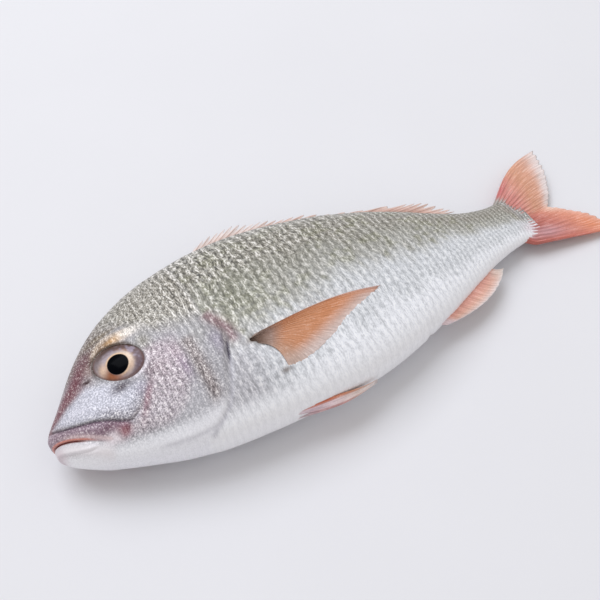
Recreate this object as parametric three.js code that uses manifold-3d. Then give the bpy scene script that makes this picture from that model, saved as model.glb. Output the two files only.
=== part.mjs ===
// A whole raw sea bream, about 300 mm long, lying on its right flank as on a fishmonger's slab.
// Millimetres. +X runs from snout to tail, +Y towards the back, +Z up, out of the left flank.
// The origin is on the flat of the right flank, where the fish rests.
// One solid holds the head, trunk and fins, and each eyeball is a solid of its own in its socket.
import * as THREE from "three";
import { mergeVertices } from "three/addons/utils/BufferGeometryUtils.js";
import Module from "manifold-3d";

const wasm = await Module();
wasm.setup();

// Driving dimensions
const BODY_LENGTH = 262; // snout to the root of the tail fin
const ORIGIN_FROM_SNOUT = 105;
const SNOUT_TIP_Y = -1;

// Heights of the back and belly, half widths and height of the middle plane above the slab,
// at even steps of the loft from snout to tail. The lines are smooth curves through them.
const BACK = [-1, 2.3, 9.5, 24.7, 38.5, 48.3, 54.2, 57.1, 55.9, 50.6, 42.3, 28.8, 10.6, 15];
const BELLY = [-1, -14.8, -20, -27, -33, -40, -43.8, -45.4, -47, -44.8, -37.6, -27.7, -15.5, -13.3];
const HALF_WIDTH = [0, 5.7, 9.3, 14.1, 16.5, 19.1, 21.2, 21.5, 21.5, 19.8, 15.9, 11, 6.4, 3.2];
const MIDDLE = [16.5, 17.3, 18.2, 18.5, 18.5, 17, 13, 7.5];

const SECTION_EXPONENT = 0.95; // under 1 is fuller than an ellipse
const RIDGE_SHARPNESS = 0.13; // the back is sharper than the belly by this much each way
const FLANK_SOFTNESS = 1.5; // half the height over which the resting flank flattens

const STATIONS = 50;
const RING = 32;

const EYE = { x: 39, y: 7.9, long: 13.8, short: 10.6, deep: 6, sunk: 3.4, underSunk: 5.3, turn: -0.49 };
const EYE_GAP = 0.35;
const GILL_EDGE = [
  [79.5, 8], [83, 1.2], [83.5, -3.6], [81.5, -10], [78.7, -17.3], [74.5, -26.5], [69.8, -32.8], [63, -37.1], [57.5, -39],
];
const GILL_GROOVE = 0.8;
const GAPE = [[21.5, -20.6], [18.2, -18.2], [14.9, -15.6], [11.4, -13.1], [7.8, -10.8], [4.2, -8.9], [2, -7.9]];
const GAPE_GROOVE = 1.1;
const CHEEK_PLATE = [
  [3.6, -2], [7.5, -4.6], [14, -7.7], [20, -10.2], [25.5, -13.1], [29.5, -15.9], [33, -17.4], [36.3, -16.5], [40.3, -14.3],
  [44.5, -10.5],
];
const CHEEK_PLATE_GROOVE = 0.6;
const PREOPERCLE = [[66.5, 4], [66.9, -4.6], [66.7, -14], [66.7, -21], [66.3, -26.8], [65.2, -30.4], [62, -33.4]];
const PREOPERCLE_GROOVE = 0.5;
const NOSTRILS = [[23.7, 8, 1.2], [21, 9.3, 0.8]];

const TAIL_RAYS = 13;
const PECTORAL_RAYS = 9;
const ANAL_RAYS = 8;
const PELVIC_RAYS = 5;

const clamp01 = (v) => Math.min(1, Math.max(0, v));
const mix = (a, b, v) => a + (b - a) * v;
const ease = (v) => clamp01(v) ** 2 * (3 - 2 * clamp01(v));
const bump = (v) => Math.exp(-v * v);

// Share of the body's length at loft parameter u: stations are closest at the snout.
const along = (u) => 1.6 * u ** 2 - 0.6 * u ** 3;

// Loft parameter at x millimetres behind the snout.
function loftAt(x) {
  let low = 0;
  let high = 1;
  for (let i = 0; i < 40; i++) {
    const middle = (low + high) / 2;
    if (along(middle) * BODY_LENGTH < x) low = middle;
    else high = middle;
  }
  return (low + high) / 2;
}

// Uniform cubic B-spline over the control values, which starts and ends on the end values.
function smoothLine(values, u) {
  const last = values.length - 1;
  const all = [2 * values[0] - values[1], ...values, 2 * values[last] - values[last - 1]];
  const place = clamp01(u) * last;
  const i = Math.min(Math.floor(place), last - 1);
  const f = place - i;
  return (
    ((1 - f) ** 3 * all[i] +
      (3 * f ** 3 - 6 * f ** 2 + 4) * all[i + 1] +
      (-3 * f ** 3 + 3 * f ** 2 + 3 * f + 1) * all[i + 2] +
      f ** 3 * all[i + 3]) / 6
  );
}

function section(u) {
  return {
    x: along(u) * BODY_LENGTH,
    back: smoothLine(BACK, u),
    belly: smoothLine(BELLY, u),
    half: smoothLine(HALF_WIDTH, u),
    middle: smoothLine(MIDDLE, u),
  };
}

// The resting flank is pressed flat on the slab: what would go below it is held at 0.
function pressed(z) {
  if (z > FLANK_SOFTNESS) return z;
  if (z < -FLANK_SOFTNESS) return 0;
  return (z + FLANK_SOFTNESS) ** 2 / (4 * FLANK_SOFTNESS);
}

// A point of the plain skin. turn runs round the section: 0 at the back, a quarter on the left
// flank, a half at the belly.
function plainSkin(u, turn) {
  const s = section(u);
  const c = Math.cos(2 * Math.PI * turn);
  const q = Math.sin(2 * Math.PI * turn);
  const width = s.half * Math.abs(q) ** (SECTION_EXPONENT + RIDGE_SHARPNESS * c);
  return new THREE.Vector3(s.x, mix(s.belly, s.back, (1 + c) / 2), s.middle + Math.sign(q) * width);
}

function skinNormal(u, turn) {
  const step = 0.004;
  const lengthwise = plainSkin(Math.min(u + step, 1), turn).sub(plainSkin(Math.max(u - step, 0.001), turn));
  const around = plainSkin(u, turn + step).sub(plainSkin(u, turn - step));
  return around.cross(lengthwise).normalize();
}

// Height of a line's y at x, for lines given as side-view points with rising x.
function lineAt(points, x, from = 0, to = 1) {
  const rising = points[points.length - 1][from] > points[0][from] ? points : [...points].reverse();
  if (x <= rising[0][from]) return rising[0][to];
  for (let i = 1; i < rising.length; i++)
    if (x <= rising[i][from]) {
      const share = (x - rising[i - 1][from]) / (rising[i][from] - rising[i - 1][from]);
      return mix(rising[i - 1][to], rising[i][to], share);
    }
  return rising[rising.length - 1][to];
}

// How far the skin stands out of the plain loft at a place in the side view.
function relief(x, y) {
  const gillInside = lineAt(GILL_EDGE, y, 1, 0) - x;
  const gillPlate = 1.3 * ease(gillInside / 2.5) * ease((32 - gillInside) / 26) * ease((14 - y) / 8);
  const cheek = 1.1 * bump(Math.hypot((x - 56) / 10, (y + 9) / 14));
  const brow = 1.1 * bump(Math.hypot((x - 43) / 9, (y - 21) / 4));
  const lipTop = lineAt(CHEEK_PLATE, x);
  const lipBottom = lineAt(GAPE, x);
  const acrossLip = (y - lipBottom) / Math.max(lipTop - lipBottom, 2);
  const inLip = acrossLip > 0 && acrossLip < 1 ? Math.sin(Math.PI * acrossLip) : 0;
  const upperLip = 1 * inLip * ease((34 - x) / 6);
  const lowerLip = 0.9 * bump((y - lipBottom + 4) / 3) * ease((24 - x) / 8);
  return gillPlate + cheek + brow + upperLip + lowerLip;
}

function skin(u, turn) {
  const p = plainSkin(u, turn);
  const out = relief(p.x, p.y) * ease(u / 0.06);
  if (out > 0) p.addScaledVector(skinNormal(u, turn), out);
  p.z = pressed(p.z);
  return p;
}

// Where the side-view place (x, y) lies round the section, on the left flank.
function turnAt(x, y) {
  const s = section(loftAt(x));
  const c = (2 * y - s.back - s.belly) / (s.back - s.belly);
  return Math.acos(Math.min(1, Math.max(-1, c))) / (2 * Math.PI);
}

// The skin at a side-view place, lifted by some millimetres, on the left or the right flank.
function onSkin(x, y, side = 1, lift = 0) {
  const u = loftAt(x);
  const turn = turnAt(x, y) * side;
  return skin(u, turn).addScaledVector(skinNormal(u, turn), lift);
}

// Solids
function solid(geometry) {
  const bare = geometry.clone();
  bare.deleteAttribute("normal");
  bare.deleteAttribute("uv");
  const merged = mergeVertices(bare, 1e-4);
  return new wasm.Manifold(
    new wasm.Mesh({
      numProp: 3,
      vertProperties: merged.attributes.position.array,
      triVerts: new Uint32Array(merged.index.array),
    }),
  );
}

function geometryOf(manifold) {
  const mesh = manifold.getMesh();
  return new THREE.BufferGeometry()
    .setAttribute("position", new THREE.BufferAttribute(mesh.vertProperties, 3))
    .setIndex(new THREE.BufferAttribute(mesh.triVerts, 1));
}

function indexed(points, triangles) {
  return new THREE.BufferGeometry().setFromPoints(points).setIndex(triangles);
}

function trunk() {
  const points = [new THREE.Vector3(0, SNOUT_TIP_Y, MIDDLE[0])];
  const triangles = [];
  for (let i = 1; i <= STATIONS; i++)
    for (let j = 0; j < RING; j++) points.push(skin(i / STATIONS, j / RING));
  const end = section(1);
  points.push(new THREE.Vector3(end.x, (end.back + end.belly) / 2, end.middle));
  const at = (i, j) => 1 + (i - 1) * RING + (j % RING);
  for (let j = 0; j < RING; j++) {
    triangles.push(0, at(1, j + 1), at(1, j));
    triangles.push(points.length - 1, at(STATIONS, j), at(STATIONS, j + 1));
    for (let i = 1; i < STATIONS; i++) {
      triangles.push(at(i, j), at(i + 1, j + 1), at(i + 1, j));
      triangles.push(at(i, j), at(i, j + 1), at(i + 1, j + 1));
    }
  }
  return indexed(points, triangles);
}

// A groove's cutter: a thin tube along a smooth path.
function tube(path, radius, steps) {
  const round = new THREE.Shape().absarc(0, 0, radius, 0, 2 * Math.PI);
  return new THREE.ExtrudeGeometry(round, {
    steps,
    curveSegments: 3,
    bevelEnabled: false,
    extrudePath: new THREE.CatmullRomCurve3(path),
  });
}

// Places along a smooth side-view line, laid on the skin of one flank.
function laidOnSkin(line, side) {
  const smooth = new THREE.CatmullRomCurve3(line.map(([x, y]) => new THREE.Vector3(x, y, 0)));
  return smooth.getSpacedPoints(3 * line.length).map((p) => onSkin(p.x, p.y, side));
}

function bothSides(line, radius, steps) {
  return [1, -1].map((side) => tube(laidOnSkin(line, side), radius, steps));
}

// The mouth runs from one corner round the snout to the other, and the gill opening from one
// shoulder under the throat to the other.
function roundFront(line, front, radius, steps) {
  return tube([...laidOnSkin(line, 1), front, ...laidOnSkin(line, -1).reverse()], radius, steps);
}

// The place at i, from 0 to 1, along a line of evenly spaced points.
function spread(line, i) {
  const place = i * (line.length - 1);
  const k = Math.min(Math.floor(place), line.length - 2);
  return line[k].map((value, axis) => mix(value, line[k + 1][axis], place - k));
}

// A fin is a fan of rays, thick along each ray and thin between, with the tips standing out.
// place(i, v) is where ray i, from 0 to 1 across the fin, is at v, from 0 at its root to 1.
function fin(place, { rays, rows, root, tip, notch = 0.08 }) {
  const columns = 2 * rays - 1;
  const spot = (column, row) => {
    const reach = column % 2 ? 1 - notch : 1;
    return place(column / (columns - 1), (row / rows) * reach);
  };
  const faces = [[], []];
  for (let c = 0; c < columns; c++)
    for (let r = 0; r <= rows; r++) {
      const p = spot(c, r);
      const across = spot(Math.min(c + 1, columns - 1), r).sub(spot(Math.max(c - 1, 0), r));
      const outward = spot(c, Math.min(r + 1, rows)).sub(spot(c, Math.max(r - 1, 0)));
      const normal = across.cross(outward).normalize();
      const half = (mix(root, tip, r / rows) * (c % 2 ? 0.6 : 1)) / 2;
      faces[0].push(p.clone().addScaledVector(normal, half));
      faces[1].push(p.clone().addScaledVector(normal, -half));
    }
  const points = [...faces[0], ...faces[1]];
  const back = faces[0].length;
  const at = (c, r) => c * (rows + 1) + r;
  const triangles = [];
  const quad = (a, b, c, d) => triangles.push(a, b, c, a, c, d);
  for (let c = 0; c < columns - 1; c++) {
    for (let r = 0; r < rows; r++) {
      const [a, b, d, e] = [at(c, r), at(c + 1, r), at(c + 1, r + 1), at(c, r + 1)];
      quad(a, b, d, e);
      triangles.push(back + a, back + d, back + b, back + a, back + e, back + d);
    }
    quad(at(c, 0), back + at(c, 0), back + at(c + 1, 0), at(c + 1, 0));
    quad(at(c + 1, rows), back + at(c + 1, rows), back + at(c, rows), at(c, rows));
  }
  for (let r = 0; r < rows; r++) {
    const far = columns - 1;
    quad(at(0, r + 1), back + at(0, r + 1), back + at(0, r), at(0, r));
    quad(at(far, r), back + at(far, r), back + at(far, r + 1), at(far, r + 1));
  }
  return indexed(points, triangles);
}

// Tail: rays fan out of the root, and the two lobes meet in a notch. The lower lobe is the
// more folded one, and both droop to the slab.
function tailFin() {
  const hinge = 225;
  const degrees = Math.PI / 180;
  const rootTurn = [29, -31];
  const tipTurn = [27, -20.5];
  const notchAt = 0.54;
  const notchReach = 53.5;
  const lobeReach = [27, 28];
  return fin(
    (i, v) => {
      const lobe = i < notchAt ? (notchAt - i) / notchAt : (i - notchAt) / (1 - notchAt);
      const reach = notchReach + (i < notchAt ? lobeReach[0] : lobeReach[1]) * lobe;
      const edge = i < notchAt ? 2.6 : 0.5;
      const turn = mix(mix(...rootTurn, i), mix(...tipTurn, i), v) + edge * lobe * Math.sin(Math.PI * v);
      const radius = mix(27, reach, v);
      const z = mix(8.2, mix(5.5, 2.2, i), v) + 0.7 * v * Math.sin(9 * i);
      return new THREE.Vector3(
        hinge + radius * Math.cos(turn * degrees), radius * Math.sin(turn * degrees), z);
    },
    { rays: TAIL_RAYS, rows: 5, root: 4.4, tip: 0.9, notch: 0.05 },
  );
}

// Back fin: folded down along the back, its spines and rays swept back. Each is given by the
// place of its foot, then the place of its tip and the height of that above the back.
function backFin() {
  const rays = [
    [93, 107, 6.5], [98, 116, 8.2], [103, 124, 8.6], [108, 129, 7.6], [113, 133, 5.2], [118, 138, 5.4],
    [123, 143, 5], [129, 149, 4.2], [138, 160, 5.2], [148, 170, 3.6], [162, 184, 3.2], [184, 208, 9.3],
    [190, 214.8, 10], [196, 220.2, 9.6], [202, 225, 5.8], [208, 228, 2.6],
  ];
  return fin(
    (i, v) => {
      const [foot, tip, height] = spread(rays, i);
      const x = mix(foot, tip, v);
      const s = section(loftAt(x));
      const sway = 0.5 * Math.sin(40 * i) * v;
      return new THREE.Vector3(x, s.back - 2 + (height + 2) * v ** 1.3, s.middle + sway);
    },
    { rays: rays.length, rows: 4, root: 2.2, tip: 0.9, notch: 0.3 },
  );
}

// Anal fin: behind the vent, swept back along the belly and drooping towards the slab.
function analFin() {
  const tips = [
    [183, -36.6], [190, -36.9], [196, -36.6], [202, -35.8], [208, -34.3], [213.5, -32.4], [219, -29.5],
    [224, -26.2], [228.5, -21.8],
  ];
  return fin(
    (i, v) => {
      const foot = section(loftAt(mix(176, 219, i)));
      const [x, y] = spread(tips, i);
      const bow = 1.2 * Math.sin(Math.PI * v);
      return new THREE.Vector3(mix(foot.x, x, v), mix(foot.belly + 2.5, y, v) - bow, foot.middle - 3.6 * v);
    },
    { rays: ANAL_RAYS, rows: 4, root: 2.4, tip: 0.9 },
  );
}

// Tips of the breast fins' rays, from the long leading ray to the short last one.
const BREAST_TIPS = [
  [156.8, -14.4], [151.5, -16.4], [144, -19], [135, -22.6], [125.5, -26.4], [116, -29.4], [107.8, -31.3], [99.8, -31.2],
];

// Breast fin of the left flank: a long fan that lies back along the skin, standing off a little.
function leftBreastFin() {
  return fin(
    (i, v) => {
      const [x, y] = spread(BREAST_TIPS, i);
      const fold = 3 * Math.sin(Math.PI * v) * i;
      const lift = mix(-1.2, 1.1, ease(v / 0.25)) + 1.4 * Math.sin(Math.PI * v) + 0.25 * Math.sin(14 * i) * v;
      const arch = 1.5 * Math.sin(Math.PI * v ** 1.5) * (1 - i);
      const across = mix(mix(-11.2, -15.8, i), y, v) + 0.5 * fold + arch;
      return onSkin(mix(mix(90.5, 93, i), x, v) + fold, across, 1, lift);
    },
    { rays: PECTORAL_RAYS, rows: 5, root: 2.2, tip: 0.9, notch: 0.04 },
  );
}

// Its twin on the right is pinned flat between the flank and the slab.
function rightBreastFin() {
  return fin(
    (i, v) => {
      const [x, y] = spread(BREAST_TIPS, i);
      const z = mix(1.5, 0.8, v) + 0.12 * Math.sin(9 * i) * v;
      return new THREE.Vector3(mix(mix(91, 94, i), x, v), mix(mix(-11, -16, i), y - 3 * i, v), z);
    },
    { rays: PECTORAL_RAYS, rows: 4, root: 1.4, tip: 0.9, notch: 0.04 },
  );
}

// Belly fins: a pair, folded back along the keel. side is 1 for the left one.
function bellyFin(side) {
  return fin(
    (i, v) => {
      const x = mix(89, 93, i) + mix(45, 35, i) * v;
      const s = section(loftAt(x));
      const off = mix(5.2, 1.1, i) - 1.2 * (1 - i) * v;
      const stand = mix(-1.5, 3.8, 1 - (1 - v) ** 2.2);
      return new THREE.Vector3(x, s.belly + 0.06 * off * off - stand, s.middle + side * off);
    },
    { rays: PELVIC_RAYS, rows: 5, root: 2, tip: 0.9, notch: 0.03 },
  );
}

// Eyes: lens-shaped balls, longest from upper front to lower back, sunk in the head's sides.
// The slab pushes the under one further in.
function eyeGeometry(grow, side) {
  const ball = new THREE.SphereGeometry(1, 20, 12);
  ball.rotateX(Math.PI / 2);
  ball.scale(EYE.long + grow, EYE.short + grow, EYE.deep + grow);
  ball.rotateZ(EYE.turn * side);
  const u = loftAt(EYE.x);
  const turn = turnAt(EYE.x, EYE.y) * side;
  const normal = skinNormal(u, turn);
  const lengthwise = new THREE.Vector3(1, 0, 0).addScaledVector(normal, -normal.x).normalize();
  const upward = normal.clone().cross(lengthwise);
  ball.applyMatrix4(new THREE.Matrix4().makeBasis(lengthwise, upward, normal));
  const middle = plainSkin(u, turn).addScaledVector(normal, side > 0 ? -EYE.sunk : -EYE.underSunk);
  return ball.translate(middle.x, middle.y, middle.z);
}

function wholeFish() {
  let fish = solid(trunk());
  const belly = section(loftAt(50));
  const throat = new THREE.Vector3(50, belly.belly, belly.middle);
  const chin = section(0.035);
  const lips = new THREE.Vector3(chin.x, chin.belly, chin.middle);
  const grooves = [
    roundFront(GAPE, lips, GAPE_GROOVE, 20),
    roundFront(GILL_EDGE, throat, GILL_GROOVE, 26),
    ...bothSides(CHEEK_PLATE, CHEEK_PLATE_GROOVE, 9),
    ...bothSides(PREOPERCLE, PREOPERCLE_GROOVE, 6),
  ];
  for (const side of [1, -1]) {
    for (const [x, y, radius] of NOSTRILS) {
      const hole = onSkin(x, y, side);
      grooves.push(new THREE.SphereGeometry(radius, 8, 6).translate(hole.x, hole.y, hole.z));
    }
    grooves.push(eyeGeometry(EYE_GAP, side));
  }
  for (const groove of grooves) fish = fish.subtract(solid(groove));
  const fins = [tailFin(), backFin(), analFin(), leftBreastFin(), rightBreastFin(), bellyFin(1), bellyFin(-1)];
  for (const one of fins) fish = fish.add(solid(one));
  const pieces = fish.decompose().sort((a, b) => b.volume() - a.volume());
  return geometryOf(pieces[0]);
}

const flesh = new THREE.MeshStandardMaterial({ color: 0xb9bbb8, roughness: 0.38, metalness: 0.25 });
const eyeball = new THREE.MeshStandardMaterial({ color: 0x8a7a6a, roughness: 0.12, metalness: 0 });

function named(name, geometry, material) {
  const mesh = new THREE.Mesh(geometry, material);
  mesh.name = name;
  mesh.position.x = -ORIGIN_FROM_SNOUT;
  return mesh;
}

const seaBream = new THREE.Group();
seaBream.add(named("fish", wholeFish(), flesh));
seaBream.add(named("left_eye", eyeGeometry(0, 1), eyeball));
seaBream.add(named("right_eye", eyeGeometry(0, -1), eyeball));

export default seaBream;
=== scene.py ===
"""A whole raw sea bream on a pale table, dressed over the solids of the part.

Forms are drawn in millimetres: x behind the snout, y above the middle line of the body and z
above the table. in_frame() turns them to the metres of the shared frame.
"""
import math

import bmesh
import bpy
import numpy as np
from mathutils import Matrix, Vector


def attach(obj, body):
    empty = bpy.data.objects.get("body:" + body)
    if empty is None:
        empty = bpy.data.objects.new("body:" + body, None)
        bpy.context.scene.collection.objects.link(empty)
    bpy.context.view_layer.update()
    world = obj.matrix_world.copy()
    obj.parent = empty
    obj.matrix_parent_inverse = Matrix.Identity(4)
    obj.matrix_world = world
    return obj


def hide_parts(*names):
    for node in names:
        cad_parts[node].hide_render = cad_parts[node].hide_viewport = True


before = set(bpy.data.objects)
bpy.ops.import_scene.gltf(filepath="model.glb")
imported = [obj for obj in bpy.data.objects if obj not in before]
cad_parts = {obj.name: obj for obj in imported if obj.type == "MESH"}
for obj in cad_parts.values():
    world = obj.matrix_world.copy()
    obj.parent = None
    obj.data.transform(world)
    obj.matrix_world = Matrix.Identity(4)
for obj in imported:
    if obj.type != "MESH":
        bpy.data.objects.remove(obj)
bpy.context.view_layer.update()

# Driving sizes of the body, as in the solids
BODY_LENGTH = 262.0
ORIGIN_FROM_SNOUT = 105.0
SNOUT_TIP_Y = -1.0
BACK = [-1, 2.3, 9.5, 24.7, 38.5, 48.3, 54.2, 57.1, 55.9, 50.6, 42.3, 28.8, 10.6, 15]
BELLY = [-1, -14.8, -20, -27, -33, -40, -43.8, -45.4, -47, -44.8, -37.6, -27.7, -15.5, -13.3]
HALF_WIDTH = [0, 5.7, 9.3, 14.1, 16.5, 19.1, 21.2, 21.5, 21.5, 19.8, 15.9, 11, 6.4, 3.2]
MIDDLE = [16.5, 17.3, 18.2, 18.5, 18.5, 17, 13, 7.5]
SECTION_EXPONENT = 0.95
RIDGE_SHARPNESS = 0.13
FLANK_SOFTNESS = 1.5

# The skin is two closed shells that meet on one ring, just behind the gill opening
HEAD_END = 87.0
HEAD_ROWS = 284
TRUNK_ROWS = 296
COLUMNS = 320
LEFT_SHARE = 1.5  # columns on the upper flank for one on the lower

# Scales: exposed length and width where the body is deepest, and how far a rear margin stands up
SCALE_LONG = 4.3
SCALE_WIDE = 4.1
SCALE_STEP = 0.2
DEEPEST_HALF_GIRTH = 118.0
SPECK_SIZE = 0.72  # silver specks, drawn about twice their real size so that they show
WANDER_SCALE = 130.0  # rows of scales sway once in about 8 mm

EYE = {
    "x": 39.0, "y": 7.9, "long": 13.8, "short": 10.6, "deep": 6.0, "turn": -0.49,
    "sunk": 3.6, "under_sunk": 5.3,
}
ORBIT = (10.9, 8.35)  # half axes of the opening in the skin
PUPIL = (38.6, 5.9)

# Lines and outlines on the side view of the head and flank
GILL_EDGE = [
    (79.5, 8), (83, 1.2), (83.5, -3.6), (81.5, -10), (78.7, -17.3), (74.5, -26.5), (69.8, -32.8),
    (63, -37.1), (57.5, -39),
]
GILL_TOP = [(79.5, 10), (81.9, 5.1), (84, 0.6), (85.6, -3.5), (85.6, -7.5)]
GILL_LOW_EDGE = [(82, -8), (79, -17), (74.6, -26.5), (70.5, -32.5), (65.6, -36), (59.5, -38.7)]
GAPE = [
    (0.2, -7.1), (2, -7.9), (4.2, -8.9), (7.8, -10.8), (11.4, -13.1), (14.9, -15.6), (18.2, -18.2),
    (21.5, -20.6),
]
LIP_FOLD = [(1.5, -11.8), (4.2, -13.4), (8.4, -15.9), (11.5, -17.4), (14.2, -18.6), (17.9, -19.7)]
CHEEK_PLATE = [
    (1.2, -0.6), (3.6, -2), (7.5, -4.6), (14, -7.7), (20, -10.2), (25.5, -13.1), (29.5, -15.9),
    (33, -17.4), (36.3, -16.5), (40.3, -14.3), (44.5, -10.5), (46.7, -7.4),
]
PREORBITAL = [
    (4, -1.5), (12, 2.5), (22, 5.5), (30, 1.5), (38, -3.5), (43.5, -6), (44.5, -9), (41, -13),
    (36.5, -16.4), (33, -17), (29, -15), (20, -9.8), (12, -6.2),
]
JAW_END = [(33, -17.4), (32.4, -19.2), (30.1, -21), (27.7, -22.8)]
PREOPERCLE = [
    (66.5, 4), (66.9, -4.6), (66.7, -14), (66.7, -21), (66.3, -26.8), (65.2, -30.4), (62, -33.4),
]
THROAT_FOLD = [
    (36, -31.6), (40, -32.6), (46, -34.4), (52.3, -35.8), (58, -36.5), (63.2, -36.5), (70, -34.6),
]
CHEEK_SCALES = [
    (50.5, 7), (58, 6), (62.9, 0.6), (62.3, -10), (60.7, -16.6), (56.8, -21.3), (53.5, -23.8),
    (47, -26.3), (37.6, -24.9), (31, -22.7), (35, -17.6), (41, -14.6), (46.5, -9), (49.5, -2),
]
BROW = [(30, 15), (32.5, 20), (36.6, 22.6), (41.5, 22.6), (46, 20.8), (53, 19)]
SNOUT_RIDGE = [(0, 0.5), (5, 2), (11, 6), (19, 11), (25, 17)]
SIDE_LINE = [
    (81, 12), (95, 21), (115, 27), (140, 29), (165, 26.5), (190, 21), (215, 13), (240, 5), (262, 1),
]
CURVE_STEPS = 5  # short pieces between two points of such a line


# Small helpers
def mix(a, b, v):
    return a + (b - a) * v


def ease(v):
    """0 up to 0, 1 from 1, and a soft step between."""
    v = np.clip(v, 0.0, 1.0)
    return v * v * (3.0 - 2.0 * v)


def bump(v):
    """1 at 0, fading out to either side over about 1."""
    return np.exp(-v * v)


def oval(x, y, middle, reach):
    """1 in the middle of an oval, fading out over its reach lengthwise and across."""
    return bump(np.hypot((x - middle[0]) / reach[0], (y - middle[1]) / reach[1]))


def unit(vectors):
    return vectors / np.maximum(np.linalg.norm(vectors, axis=-1, keepdims=True), 1e-9)


def curved(line):
    """A side-view line made smooth: a curve through its points, as closely spaced points."""
    p = np.asarray(line, float)
    full = np.vstack([2 * p[0] - p[1], p, 2 * p[-1] - p[-2]])
    out = []
    for k in range(1, len(full) - 2):
        a, b, c, d = full[k - 1 : k + 3]
        square, cube = 2 * a - 5 * b + 4 * c - d, 3 * b - a - 3 * c + d
        for step in range(CURVE_STEPS):
            f = step / CURVE_STEPS
            out.append(0.5 * (2 * b + (c - a) * f + square * f**2 + cube * f**3))
    out.append(full[-2])
    return np.array(out)


def off_line(line, x, y):
    """Distance from a side-view line, plus on its left as it runs, and the share along it."""
    points = curved(line)
    lengths = np.hypot(*np.diff(points, axis=0).T)
    gap = np.full(x.shape, 1e9)
    share = np.zeros(x.shape)
    start = 0.0
    for (ax, ay), (bx, by), length in zip(points[:-1], points[1:], lengths):
        dx, dy = bx - ax, by - ay
        f = np.clip(((x - ax) * dx + (y - ay) * dy) / length**2, 0, 1)
        px, py = x - ax - f * dx, y - ay - f * dy
        far = np.hypot(px, py)
        closer = far < np.abs(gap)
        gap = np.where(closer, np.where(dx * py - dy * px < 0, -far, far), gap)
        share = np.where(closer, (start + f * length) / lengths.sum(), share)
        start += length
    return gap, share


def patch(outline, x, y, soft):
    """1 inside a side-view outline and 0 outside, softened over some millimetres."""
    closed = np.asarray(list(outline) + [outline[0]], float)
    inside = np.zeros(x.shape, bool)
    far = np.full(x.shape, 1e9)
    for (ax, ay), (bx, by) in zip(closed[:-1], closed[1:]):
        dx, dy = bx - ax, by - ay
        level = 1e-9 if dy == 0 else dy
        inside ^= ((ay > y) != (by > y)) & (x < dx * (y - ay) / level + ax)
        f = np.clip(((x - ax) * dx + (y - ay) * dy) / (dx**2 + dy**2), 0, 1)
        far = np.minimum(far, np.hypot(x - ax - f * dx, y - ay - f * dy))
    return ease(0.5 + np.where(inside, far, -far) / (2 * soft))


def steady_noise(x, y, seed):
    """Smooth noise from -1 to 1 with one bump to a unit, the same on each run."""
    table = np.random.default_rng(seed).uniform(-1, 1, (256, 256))
    i, j = np.floor(x).astype(int), np.floor(y).astype(int)
    f, g = ease(x - i), ease(y - j)
    low = mix(table[i % 256, j % 256], table[(i + 1) % 256, j % 256], f)
    high = mix(table[i % 256, (j + 1) % 256], table[(i + 1) % 256, (j + 1) % 256], f)
    return mix(low, high, g)


def each_own(i, j, seed):
    """A number from -1 to 1 for each scale, given its place in the rows."""
    table = np.random.default_rng(seed).uniform(-1, 1, (256, 256))
    return table[np.round(2 * i).astype(int) % 256, np.round(2 * j).astype(int) % 256]


def linear(code):
    """The linear colour of an sRGB hex value."""
    parts = np.array([int(code[k : k + 2], 16) for k in (1, 3, 5)]) / 255.0
    return np.where(parts <= 0.04045, parts / 12.92, ((parts + 0.055) / 1.055) ** 2.4)


def blend_tints(codes, stops, v):
    """The colour at v on a run of colours."""
    colours = np.array([linear(code) for code in codes])
    return np.stack([np.interp(v, stops, colours[:, k]) for k in range(3)], -1)


def lay_over(tint, layers):
    """Lays each colour over those before it, where its mask shows."""
    for code, mask in layers:
        tint = tint + (linear(code) - tint) * np.clip(mask, 0, 1)[:, None]
    return tint


def in_frame(points):
    """Millimetres from the snout to metres of the frame."""
    return (np.asarray(points, float) - np.array([ORIGIN_FROM_SNOUT, 0.0, 0.0])) / 1000.0


# The loft of the body: u is 0 at the snout and 1 at the root of the tail
def along(u):
    return 1.6 * u**2 - 0.6 * u**3


LOFT_STEPS = np.linspace(0, 1, 4001)
LOFT_X = along(LOFT_STEPS) * BODY_LENGTH


def loft_at(x):
    return np.interp(x, LOFT_X, LOFT_STEPS)


def smooth_line(values, u):
    """A smooth curve led by evenly spaced values, which it starts and ends on."""
    v = np.asarray(values, float)
    last = len(v) - 1
    full = np.concatenate([[2 * v[0] - v[1]], v, [2 * v[-1] - v[-2]]])
    place = np.clip(u, 0, 1) * last
    i = np.minimum(np.floor(place).astype(int), last - 1)
    f = place - i
    a = (1 - f) ** 3 * full[i]
    b = (3 * f**3 - 6 * f**2 + 4) * full[i + 1]
    c = (-3 * f**3 + 3 * f**2 + 3 * f + 1) * full[i + 2]
    return (a + b + c + f**3 * full[i + 3]) / 6


def back_at(u):
    return smooth_line(BACK, u)


def belly_at(u):
    return smooth_line(BELLY, u)


def middle_at(u):
    return smooth_line(MIDDLE, u)


def height_share(y, u):
    """0 on the outline of the belly and 1 on that of the back."""
    return (y - belly_at(u)) / np.maximum(back_at(u) - belly_at(u), 1)


def plain_skin(u, turn):
    """The loft without relief. turn is 0 on the back, 0.25 on the left flank, 0.5 on the belly."""
    c, q = np.cos(2 * np.pi * turn), np.sin(2 * np.pi * turn)
    width = smooth_line(HALF_WIDTH, u) * np.abs(q) ** (SECTION_EXPONENT + RIDGE_SHARPNESS * c)
    x = along(u) * BODY_LENGTH
    y = mix(belly_at(u), back_at(u), (1 + c) / 2)
    return np.stack([x, y, middle_at(u) + np.sign(q) * width], -1)


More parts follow.
